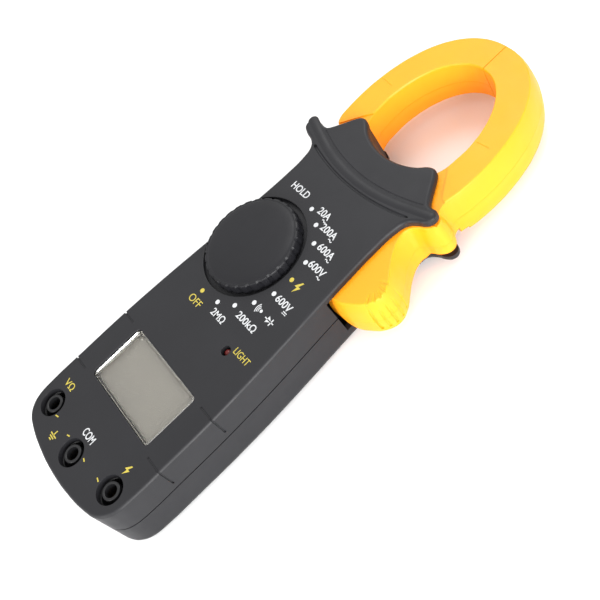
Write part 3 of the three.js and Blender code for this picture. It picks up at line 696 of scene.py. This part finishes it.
for number, at in enumerate(CASE_POSTS, 1):
    screw(f"case_screw_{number}_detail", at, 0.4, 2.6, 1.5, 18, 1.3)
screw("case_screw_4_detail", LEFT_POST, 1.6, 2.6, 1.5, 21, 1.3)
screw("battery_door_screw_detail", DOOR_SCREW_AT, 0.2, 2.3, 0.6, 6.5, 1.1)

# %% [markdown]
# The jaws. Each is a half ring in two mouldings, front and rear, that meet at mid height. Its flat face has a
# softened edge and its outer wall is slightly crowned, so each moulding starts from the outline near the
# face and spreads as it goes down to the parting line. The moving half goes on past the pivot into a
# horn between the guards and the thumb trigger.

# %% Jaw outlines
def oval(half, up, centre, power, angles):
    return [(half * math.copysign(abs(math.cos(a)) ** (2 / power), math.cos(a)),
             centre + up * math.copysign(abs(math.sin(a)) ** (2 / power), math.sin(a)))
            for a in [math.radians(d) for d in angles]]


OUTER = oval(29.1, 40.2, 57.8, 2.2, (90, 82, 72, 62, 52, 42, 32, 22, 12, 4))
TRIGGER = [(28.7, 53), (28.1, 49.4), (27.7, 46.4), (28.9, 43.8), (31.2, 42.3), (31.9, 40.4), (30.4, 38.1),
           (27.4, 36.3), (25.5, 34), (25.8, 30.8), (28.3, 26.2), (31.6, 22.4), (34.8, 18.8), (36.3, 15.4),
           (35.3, 11.3), (30.6, 7.0), (26.6, 5.1), (21.9, 4.6, "corner"), (20.2, 14), (18.8, 24), (15.2, 32),
           (8, 36.2), (2, 36.8), (-4, 36.8, "corner")]
ROOT = [(28.7, 53), (28.1, 49.4), (26.6, 47.2), (23, 46.2), (20.6, 44.4, "corner"), (20.6, 36.8, "corner"),
        (-4, 36.8, "corner")]
moving_outline = [(-4, 98, "corner")] + OUTER + TRIGGER
fixed_outline = [(-x, *rest) for x, *rest in [(-4, 98, "corner")] + OUTER + ROOT][::-1]
MID = 11.6
JAW_PIN = (20.5, 40)
CROWN = [(-0.42, 1.1), (-0.33, 1.8), (-0.26, 2.2)]


def jaw_moulding(name, outline, front):
    lip = quarter_round(0.6, 3)
    if front:
        rest = 19.3 - sum(t for _, t in CROWN) - (MID + 0.05)
        bm = slab(ring_of(outline), 19.25, 19.3, top=lip, bottom=CROWN + [(-0.14, rest - 0.05)])
    else:
        rest = (MID - 0.05) - 3.9 - sum(t for _, t in CROWN)
        bm = slab(ring_of(outline), 3.9, 3.95, bottom=lip, top=CROWN + [(-0.14, rest - 0.05)])
    return as_object(name, bm)


def opening_insert():
    """The space that the jaws close round: a leaf shape with a soft rim and a chamfer round its back."""
    deg = [math.degrees(a) for a in (0.0, 0.2, 0.4, 0.6, 0.8, 1.0, 1.2, 1.4)]
    throat = [(27 * math.cos(math.radians(a)), THROAT_Y + 27 * math.sin(math.radians(a)))
              for a in (-90, -80, -70, -60, -52)]
    half = throat + oval(18.7, 25.6, 62, 2, deg) + [(0, 87.6, "corner")]
    return slab(ring_of(both_sides(half)), 6, 19.2, top=[(-0.1, 0.35), (-0.3, 0.35), (-0.3, 0.1), (0, 1)],
                bottom=[(-0.6, 0.5), (-2.2, 2.3), (0, 1)])


def core_channel(low, high, grow):
    """The ring-shaped space for the core inside the jaws."""
    bm = bmesh.new()
    for half, up, down in ((23.4 - grow, 33.7 - grow, 19 - grow), (23.4 + grow, 33.7 + grow, 19 + grow)):
        made = bmesh.ops.create_circle(bm, segments=96, radius=1)["verts"]
        for vert in made:
            vert.co.x *= half
            vert.co.y *= up if vert.co.y > 0 else down
        bmesh.ops.translate(bm, verts=made, vec=(0, 60, low))
    ring = bmesh.ops.bridge_loops(bm, edges=bm.edges[:])["faces"]
    lifted = bmesh.ops.extrude_face_region(bm, geom=ring, use_keep_orig=True)["geom"]
    raised = [v for v in lifted if isinstance(v, bmesh.types.BMVert)]
    bmesh.ops.translate(bm, verts=raised, vec=(0, 0, high - low))
    bmesh.ops.recalc_face_normals(bm, faces=bm.faces)
    return bm


print("jaw outline points:", len(moving_outline), len(fixed_outline))

# %% [markdown]
# Under the guard the jaws are thinner, so their faces step down there: the tuck is an insert with the guard's
# own outline, a little larger. The halves stop just short of the middle plane, where the steel of
# the core shows when they open.

# %% Jaw mouldings
def tuck_insert(low, high):
    wide = [(x + (0.9 if x > 3 else 0), y + (0.9 if 22 < x and y > 42 else 0), *c)
            for x, y, *c in [(0, 30, "corner"), (22, 30, "corner")] + guard_line(7)]
    return slab(ring_of(both_sides(wide)), low, high)


def short_mark(side, x0, x1, y):
    return rod([(side * x0, y, 19.98), (side * x1, y + 0.5, 19.98)], 0.22)


def jaw_pieces(prefix, outline, side, body):
    for front in (True, False):
        name = f"{prefix}_{'front' if front else 'rear'}"
        piece = jaw_moulding(name + "_moulding", outline, front)
        inserts = [opening_insert(), core_channel(6.7, 18.2, 2.5),
                   block((-60, 0, -5), (0.15, 110, 30)) if side > 0 else block((-0.15, 0, -5), (60, 110, 30))]
        if front:
            step = [(18, 57.2), (20.4, 54.6), (26, 47.6), (30, 46.6), (32, 40), (8, 36), (8, 50), (17, 53)]
            inserts.append(slab(ring_of([(side * x, y, "corner") for x, y in step][::side]), 19.5, 21))
            inserts += [short_mark(side, 22.0 if side < 0 else 19.6, 28.4 if side < 0 else 24.4, 67.3)]
        else:
            inserts += [tuck_insert(0, 5), block((22, 0, 0), (60, 50, 5)) if side > 0
                        else block((-60, 0, 0), (-22, 48, 5)), block((0, 0, 0), (60, 34, 5))]
            if side > 0:
                inserts.append(block((26, 34, 0), (60, 47, 7.4)))
        if side > 0:
            inserts += [turned([(0, 0), (2.3, 0), (2.3, 30), (0, 30)], JAW_PIN, 32),
                        block((-5, 30, 0), (0.7, 46, 30))]
            inserts += grip_inserts(front)
        else:
            inserts += [turned([(0, 0), (1.6, 0), (1.6, 30), (0, 30)], LEFT_POST, 24)]
        combine(piece, inserts)
        finish_piece(piece, amber, body, [name])


GRIP_AT = [(35.9, 19.4), (37.2, 16.9), (37.5, 14.3), (36.9, 11.8), (35.3, 9.6)]


def grip_inserts(front):
    """Short grooves over the trigger's edge that leave ribs for the thumb."""
    centre = Vector((29.5, 14.6))
    made = []
    for x, y in GRIP_AT:
        inward = (centre - Vector((x, y))).normalized()
        along = Vector((inward.y, -inward.x)) * 0.25
        edge = Vector((x, y))
        if front:
            path = [edge + inward * 4.0 + along * 4, edge + inward * 1.2 + along, edge + inward * 0.1, edge]
            heights = [20.3, 19.9, 18.7, 11]
        else:
            path = [edge, edge + inward * 0.05, edge + inward * 0.3]
            heights = [12.5, 9, 6.6]
        made.append(rod([(p.x, p.y, z) for p, z in zip(path, heights)], 0.5))
    return made


jaw_pieces("moving_jaw", moving_outline, 1, "jaw")
jaw_pieces("fixed_jaw", fixed_outline, -1, "meter")

# %% [markdown]
# The throat wall closes the fixed side of the guard where the jaw goes in. It is a thin dark band that
# follows the throat's arc between the two guard plates.

# %% Throat wall
wall = bmesh.new()
corners = [wall.verts.new((r, 0, z)) for r, z in ((26.35, 4.75), (26.8, 4.75), (26.8, 20.15), (26.35, 20.15))]
section = wall.faces.new(corners)
bmesh.ops.rotate(wall, verts=wall.verts, cent=(0, 0, 0), matrix=Matrix.Rotation(math.radians(-128), 3, "Z"))
bmesh.ops.spin(wall, geom=[section], cent=(0, 0, 0), axis=(0, 0, 1), angle=math.radians(36.5), steps=28,
               use_duplicate=False)
bmesh.ops.translate(wall, verts=wall.verts, vec=(0, THROAT_Y, 0))
bmesh.ops.recalc_face_normals(wall, faces=wall.faces)
throat_wall = as_object("throat_wall", wall)
combine(throat_wall, [block((-40, 40, -5), (-15.6, 60, 30))])
finish_piece(throat_wall, charcoal, "meter")

# %% [markdown]
# The range knob is a slightly domed cap over a ring of finger notches. Spinning its profile makes the cap,
# and a ring of upright round inserts cuts the notches, which leaves rounded lobes between them.

# %% Range knob
KNOB_LOW = FACE - 1.2
knob = as_object("knob_cap", turned([
    (0, KNOB_LOW), (16.2, KNOB_LOW), (16.35, KNOB_LOW + 0.3), (16.2, FACE + 1.9), (15.9, FACE + 2.35),
    (15.4, FACE + 2.55), (15.05, FACE + 2.5), (14.8, FACE + 2.62), (14.3, FACE + 2.85), (12.5, FACE + 3.05),
    (9, FACE + 3.2), (4, FACE + 3.29), (0, FACE + 3.3)], KNOB_AT, 224))
notches = []
for i in range(28):
    turn = math.radians(i * 360 / 28)
    at = (KNOB_AT[0] + 17.0 * math.cos(turn), KNOB_AT[1] + 17.0 * math.sin(turn))
    notches.append(turned([(0, KNOB_LOW - 1), (1.15, KNOB_LOW - 1), (1.15, FACE + 1.9), (1.6, FACE + 2.6),
                           (1.9, FACE + 4), (0, FACE + 4)], at, 16))
notch_ring = bmesh.new()
for notch in notches:
    part = bpy.data.meshes.new("notch")
    notch.to_mesh(part)
    notch.free()
    notch_ring.from_mesh(part)
combine(knob, [notch_ring])
combine(knob, [turned([(0, 19.9), (4.9, 19.9), (4.9, 21.6), (0, 21.6)], KNOB_AT, 48),
               block((-12.4, -2.4, 17.6), (-7.6, 2.4, 20.5))], "UNION")
finish_piece(knob, knob_grey, "knob", ["range_knob"])

# %% [markdown]
# Each socket is a black cup with a tube standing in it, and a brass barrel down the tube. The mouth of
# the tube is softly rounded and catches the light as a ring.

# %% Sockets
for name, at in SOCKETS.items():
    cup = as_object(f"{name}_socket", turned([
        (2.5, 9.7), (5.6, 9.7), (5.6, 19.9), (4.95, 20.0), (4.55, 19.6), (4.5, 11.6), (4.2, 11.2),
        (3.05, 11.2), (3.05, 21.3), (3.0, 21.6), (2.85, 21.72), (2.3, 21.78), (2.15, 21.7), (2.1, 21.45),
        (2.1, 20.1), (2.5, 20), (2.5, 9.7)], at))
    finish_piece(cup, jack_black, "meter", [f"{name}_jack_shroud"])
    barrel = as_object(f"{name}_barrel", turned([
        (0, 8), (2.1, 8), (2.35, 8.3), (2.35, 15.7), (2.2, 15.9), (2.05, 15.7), (2.0, 15.4), (2.0, 9.9),
        (0, 9.4)], at, 48))
    finish_piece(barrel, brass, "meter", [f"{name}_jack_barrel"])

# %% [markdown]
# The window is a clear moulding with a bevelled rim, set a little under the face. Below it is the display,
# a plain sheet of glass with softened edges.

# %% Window and display
pane_corners = [(18.36, -63.16), (18.36, -43.44), (-18.36, -43.44), (-18.36, -63.16)]
pane = as_object("window_pane", slab(ring_of(rounded_box(pane_corners, 1.5)), 20.6, 21.75,
                                     top=[(0.2, 0.32), (0.25, 0.13), (0.45, -0.3)], bottom=[(0.35, 0.2)]))
finish_piece(pane, window_clear, "meter", ["lcd_window"])
display_corners = [(18.6, -63.6), (18.6, -43.2), (-18.6, -43.2), (-18.6, -63.6)]
lcd = as_object("display", slab(ring_of(rounded_box(display_corners, 0.4)), 17, 18.95,
                                top=quarter_round(0.15, 2)))
finish_piece(lcd, display_grey, "meter", ["lcd_glass"])

# %% [markdown]
# The lamp is a small domed lens, and the hold button is a soft-edged key with three grooves, in the left
# flank.

# %% Lamp and hold button
lamp_lens = as_object("lamp_lens", turned([
    (0, 15.9), (1.3, 15.9), (1.3, 20.6), (1.22, 21.0), (1.0, 21.35), (0.65, 21.6), (0.3, 21.7), (0, 21.72)],
    LAMP_AT, 40))
finish_piece(lamp_lens, lens_red, "meter", ["led_lamp"])

key = block((-24.9, 19.5, 16.2), (-21.1, 25.5, 19.6))
outer_edges = [e for e in key.edges if all(v.co.x < -24 for v in e.verts)]
bmesh.ops.bevel(key, geom=outer_edges, offset=0.5, segments=3, profile=0.5, affect="EDGES", material=-1)
hold_key = as_object("hold_key", key)
combine(hold_key, [block((-21.4, 18.5, 16), (-20.8, 26.5, 19.9))], "UNION")
combine(hold_key, [rod([(-24.95, 22.5 + d, 15), (-24.95, 22.5 + d, 21)], 0.22) for d in (-1.2, 0, 1.2)])
finish_piece(hold_key, knob_grey, "hold", ["hold_button"])

# %% [markdown]
# Printed legends. The range names are set in a plain narrow type round the knob, with a dot for each
# position. Off, the mains-finder flash and the lamp's name are yellow, the rest are white. Each legend
# is text turned into a thin mesh, a few hundredths of a millimetre proud like real pad printing.

# %% Legend helpers
INK_HIGH = 0.03
DIAL_R = 21


def lay_print(name, bm, colour):
    bmesh.ops.translate(bm, verts=bm.verts, vec=(0, 0, FACE + 0.004))
    return finish_piece(as_object(name, bm), colour, "meter")


def lettering(words, centre, width, height, weight=0.0):
    """A bmesh of raised letters, fitted to a width and height and centred on a point."""
    text = bpy.data.curves.new("words", "FONT")
    text.body = words
    text.extrude = 0.01
    text.offset = weight
    holder = bpy.data.objects.new("words", text)
    scene.collection.objects.link(holder)
    bm = bmesh.new()
    bm.from_mesh(bpy.data.meshes.new_from_object(holder))
    bpy.data.objects.remove(holder)
    bpy.data.curves.remove(text)
    xs, ys = [v.co.x for v in bm.verts], [v.co.y for v in bm.verts]
    middle = ((max(xs) + min(xs)) / 2, (max(ys) + min(ys)) / 2)
    bmesh.ops.translate(bm, verts=bm.verts, vec=(-middle[0], -middle[1], 0.01))
    stretch = (width / (max(xs) - min(xs)), height / (max(ys) - min(ys)), 1.5)
    bmesh.ops.scale(bm, verts=bm.verts, vec=stretch)
    bmesh.ops.translate(bm, verts=bm.verts, vec=(centre[0], centre[1], 0))
    return bm


def gathered(parts):
    """Several small meshes as one."""
    whole = bmesh.new()
    for part in parts:
        data = bpy.data.meshes.new("part")
        part.to_mesh(data)
        part.free()
        whole.from_mesh(data)
    return whole


def stroke(points, width):
    """A flat line of ink through a few points."""
    return [slab(ring_of([(*corner, "corner") for corner in quad]), 0, INK_HIGH)
            for quad in [line_quad(a, b, width) for a, b in zip(points, points[1:])]]


def line_quad(a, b, width):
    a, b = Vector(a), Vector(b)
    across = Vector((a.y - b.y, b.x - a.x)).normalized() * width / 2
    return [tuple(a + across), tuple(a - across), tuple(b - across), tuple(b + across)]


def wave(centre, width, height):
    points = [(centre[0] + width * (t / 10 - 0.5), centre[1] + height * math.sin(2 * math.pi * t / 10))
              for t in range(11)]
    return stroke(points, 0.34)


def flash(centre, size):
    """The lightning mark: a bent stroke with an arrow-like foot."""
    x, y = centre
    shape = [(x + across * size, y + up * size, "corner") for across, up in (
        (0.10, 0.55), (-0.32, -0.02), (-0.02, -0.02), (-0.12, -0.55), (0.34, 0.10), (0.04, 0.10),
        (0.26, 0.55))]
    return slab(ring_of(shape), 0, INK_HIGH)


def on_dial(degrees):
    """The place of a range dot at an angle round the knob."""
    turn = math.radians(degrees)
    return (KNOB_AT[0] + DIAL_R * math.cos(turn), DIAL_R * math.sin(turn))


def dot(at, r=0.78, sides=28):
    return turned([(0, 0), (r, 0), (r, INK_HIGH), (0, INK_HIGH)], at, sides)


# %% [markdown]
# The white legends: the range names with a wave for alternating and a broken line for direct voltage, the
# common socket's name, and a dot for every position except the two yellow ones.

# %% Legends round the knob
ranges = [("20A", (0.9, 21.7), 5.6), ("200A", (7.4, 18.5), 7.3), ("600A", (12.3, 13.5), 7.3),
          ("600V", (14.7, 8.0), 7.3), ("600V", (15.6, -6.0), 7.3), ("200kΩ", (10.6, -17.6), 9.6),
          ("2MΩ", (1.0, -22.5), 6.6), ("HOLD", (-13.4, 22.5), 8.6)]
white_parts = [lettering(words, at, width, 2.5, 0.012) for words, at, width in ranges]
for centre in ((2.9, 19.8), (10.2, 16.6), (15.1, 11.6), (17.5, 6.1)):
    white_parts += wave(centre, 1.8, 0.28)
white_parts += stroke([(17.5, -7.7), (19.3, -7.7)], 0.3) + stroke([(17.5, -8.3), (18.0, -8.3)], 0.3)
white_parts += stroke([(18.25, -8.3), (18.6, -8.3)], 0.3) + stroke([(18.85, -8.3), (19.3, -8.3)], 0.3)
white_parts.append(lettering("COM", (0.2, -75), 6.0, 2.7, 0.012))
DOT_ANGLES = [74.3 - 18.2 * i for i in range(9)]
FLASH_DOT = 4
white_parts += [dot(on_dial(angle)) for angle in DOT_ANGLES if angle != DOT_ANGLES[FLASH_DOT]]

# %% [markdown]
# The continuity range has two marks: a dot with three sound waves, and a diode, which is a triangle
# against a bar on a short lead.

# %% Buzzer and diode marks
BUZZER_AT = (11.6, -12.3)
white_parts.append(dot(BUZZER_AT, 0.55, 20))
for r in (1.15, 1.75, 2.35):
    turns = [math.radians(a) for a in range(-40, 41, 16)]
    arc = [(BUZZER_AT[0] - r * math.cos(a), BUZZER_AT[1] + r * math.sin(a)) for a in turns]
    white_parts += stroke(arc, 0.3)
diode = [(15.4, -11.4, "corner"), (15.4, -13.8, "corner"), (17.3, -12.6, "corner")]
white_parts.append(slab(ring_of(diode), 0, INK_HIGH))
white_parts += stroke([(17.4, -11.4), (17.4, -13.8)], 0.4) + stroke([(14.3, -12.6), (18.6, -12.6)], 0.34)
lay_print("white_legends", gathered(white_parts), white_ink)

# %% [markdown]
# The yellow legends: the off position, the lamp's name, the voltage socket's name, two flashes, the dashes
# between the sockets and the earth mark.

# %% Yellow legends
OFF_ANGLE = -93.4
yellow_parts = [lettering("OFF", (-10.2, -24.6), 6.2, 2.5), lettering("LIGHT", (19.2, -25.4), 7.4, 2.2),
                lettering("VΩ", (-21.3, -71.1), 4.9, 2.5, 0.008), flash((14.6, 0), 3.9),
                flash((20.1, -71.3), 3.4), dot(on_dial(OFF_ANGLE)), dot(on_dial(DOT_ANGLES[FLASH_DOT]))]
for a, b in (((-15.9, -80.1), (-14.5, -79.7)), ((-6.4, -80.4), (-5.2, -80)), ((5.2, -80), (6.4, -80.4)),
             ((14.4, -79.7), (15.8, -80.1))):
    yellow_parts += stroke([a, b], 0.42)
EARTH_AT = (-10.3, -84)
for drop, half in ((0, 1.7), (-0.75, 1.15), (-1.5, 0.6)):
    height = EARTH_AT[1] + drop
    yellow_parts += stroke([(EARTH_AT[0] - half, height), (EARTH_AT[0] + half, height)], 0.4)
yellow_parts += stroke([EARTH_AT, (-10.3, -82.2)], 0.4)
lay_print("yellow_legends", gathered(yellow_parts), yellow_ink)

# %% [markdown]
# The working parts inside keep their CAD shapes and get their finishes. They show in the throat and in the
# jaw tips when the jaw opens, and when the part is taken to pieces.

# %% Finishes for the inside parts
inside = {
    sheet_core: ["fixed_core", "moving_core"],
    copper: ["fixed_winding", "moving_winding"],
    steel: ["jaw_pin", "detent_ball", "cell_1_plate", "cell_2_plate"],
    spring_steel: ["return_spring", "detent_spring", "cell_1_spring", "cell_2_spring"],
    ivory: ["detent_ring", "switch_rotor", "lcd_frame"],
    brass: ["contact_wiper_1", "contact_wiper_2", "contact_wiper_3"],
    rubber: ["contact_strip"],
    board_green: ["main_board"],
    chip_black: ["meter_chip", "buzzer", "hold_switch"],
    cell_wrap: ["cell_1", "cell_2", "capacitor"],
}
for finish, names in inside.items():
    for name in names:
        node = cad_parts[name]
        node.data.materials.clear()
        node.data.materials.append(finish)
print("inside parts finished:", sum(len(names) for names in inside.values()))

# %% [markdown]
# Last, the view layer is brought up to date.

# %% The end
bpy.context.view_layer.update()
